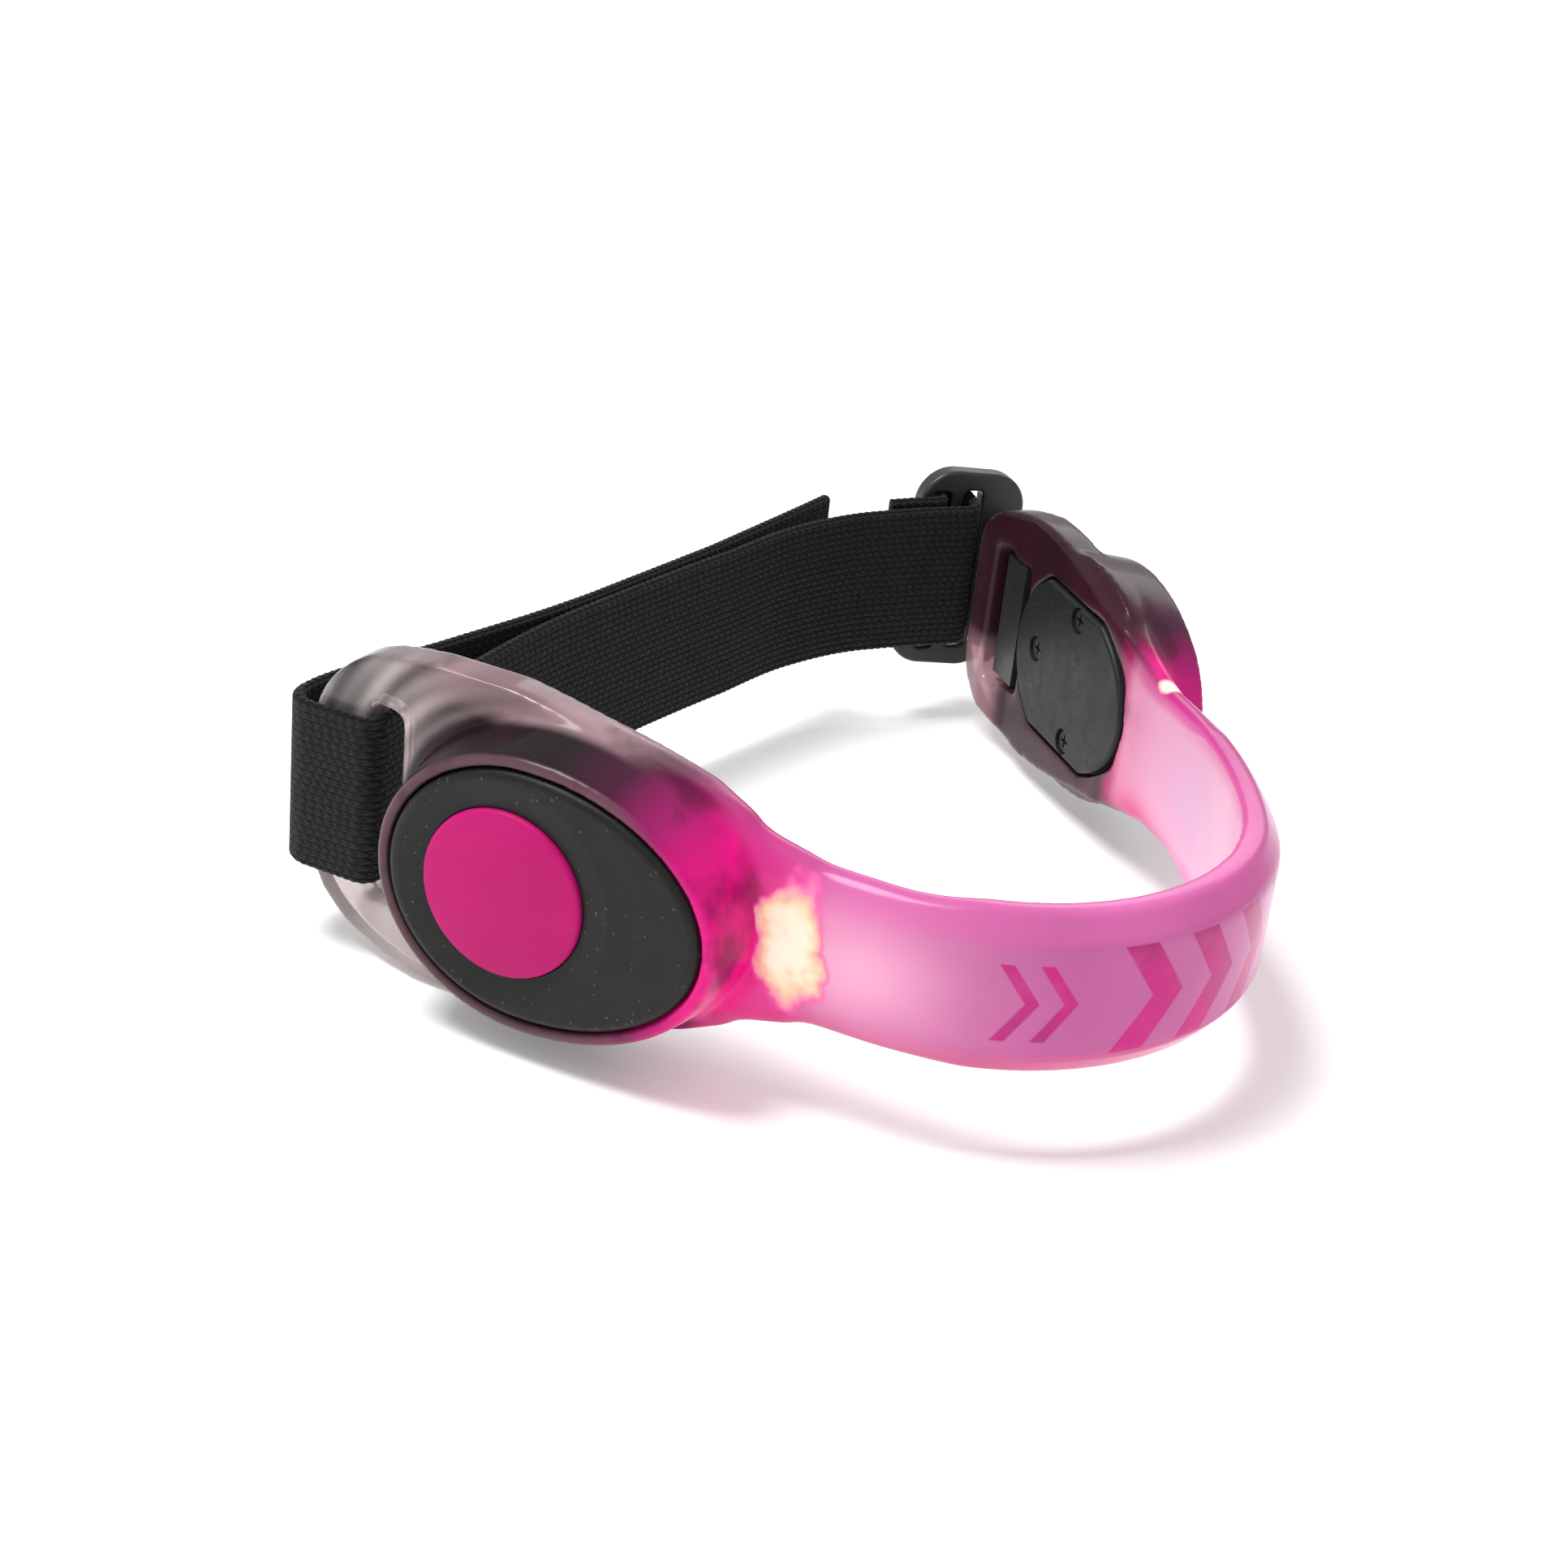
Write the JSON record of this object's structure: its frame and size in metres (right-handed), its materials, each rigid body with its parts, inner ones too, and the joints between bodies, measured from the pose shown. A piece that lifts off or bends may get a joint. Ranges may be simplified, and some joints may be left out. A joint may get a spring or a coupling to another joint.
{
  "type": "led running armband",
  "caption": "Elastic running armband: a glowing translucent light guide joins a front and a rear lamp pod with push buttons, closed by a webbing strap and a hooked ladder buckle.",
  "frame": {"origin": "bottom centre of the whole armband's bounding box, as it stands on the lower edges of its pods", "axes": "+Z along the axis of the ring the arm passes through, upwards; the front pod with its button faces -Y; the light guide bulges towards +X and the strap runs along the -X side"},
  "size_m": [0.1027, 0.1206, 0.038],
  "materials": {
    "pink_tpu": "translucent satin elastomer, edge-lit",
    "webbing": "knitted elastic webbing",
    "buckle_plastic": "fine satin",
    "charcoal_plastic": "satin with light specks",
    "pink_silicone": "soft matt",
    "black_rubber": "matt",
    "steel": "plain machine screw",
    "natural_plastic": "plain moulded",
    "cell_can": "bright plated can",
    "gilt_contact": "gilt spring strip",
    "board_green": "solder mask",
    "chip_black": "moulded package",
    "led_body": "lamp package",
    "clear_plastic": "clear light pipe",
    "switch_steel": "tactile switch case",
    "switch_plunger": "plain"
  },
  "bodies": {
    "band": {"light_band": "pink_tpu", "strap": "webbing", "buckle": "buckle_plastic", "front_back_cover": "charcoal_plastic", "front_cover_gasket": "black_rubber", "front_cover_screws": "steel", "front_chassis": "natural_plastic", "front_coin_cell": "cell_can", "front_cell_contact": "gilt_contact", "front_cell_clip": "gilt_contact", "front_circuit_board": "board_green", "front_driver_chip": "chip_black", "front_led": "led_body", "front_light_pipe": "clear_plastic", "front_face_shell": "charcoal_plastic", "front_switch_body": "switch_steel", "rear_back_cover": "charcoal_plastic", "rear_cover_gasket": "black_rubber", "rear_cover_screws": "steel", "rear_chassis": "natural_plastic", "rear_coin_cell": "cell_can", "rear_cell_contact": "gilt_contact", "rear_cell_clip": "gilt_contact", "rear_circuit_board": "board_green", "rear_driver_chip": "chip_black", "rear_led": "led_body", "rear_light_pipe": "clear_plastic", "rear_face_shell": "charcoal_plastic", "rear_switch_body": "switch_steel"},
    "front_button": {"front_button": "pink_silicone", "front_switch_plunger": "switch_plunger"},
    "rear_button": {"rear_button": "pink_silicone", "rear_switch_plunger": "switch_plunger"}
  },
  "joints": [
    {"name": "front_button_press", "type": "slide", "parent": "band", "child": "front_button", "axis": [0, 1, 0], "range_m": [0, 0.0005], "stiffness_N_per_m": 3000},
    {"name": "rear_button_press", "type": "slide", "parent": "band", "child": "rear_button", "axis": [-0.6947, -0.7193, 0], "range_m": [0, 0.0005], "stiffness_N_per_m": 3000}
  ]
}
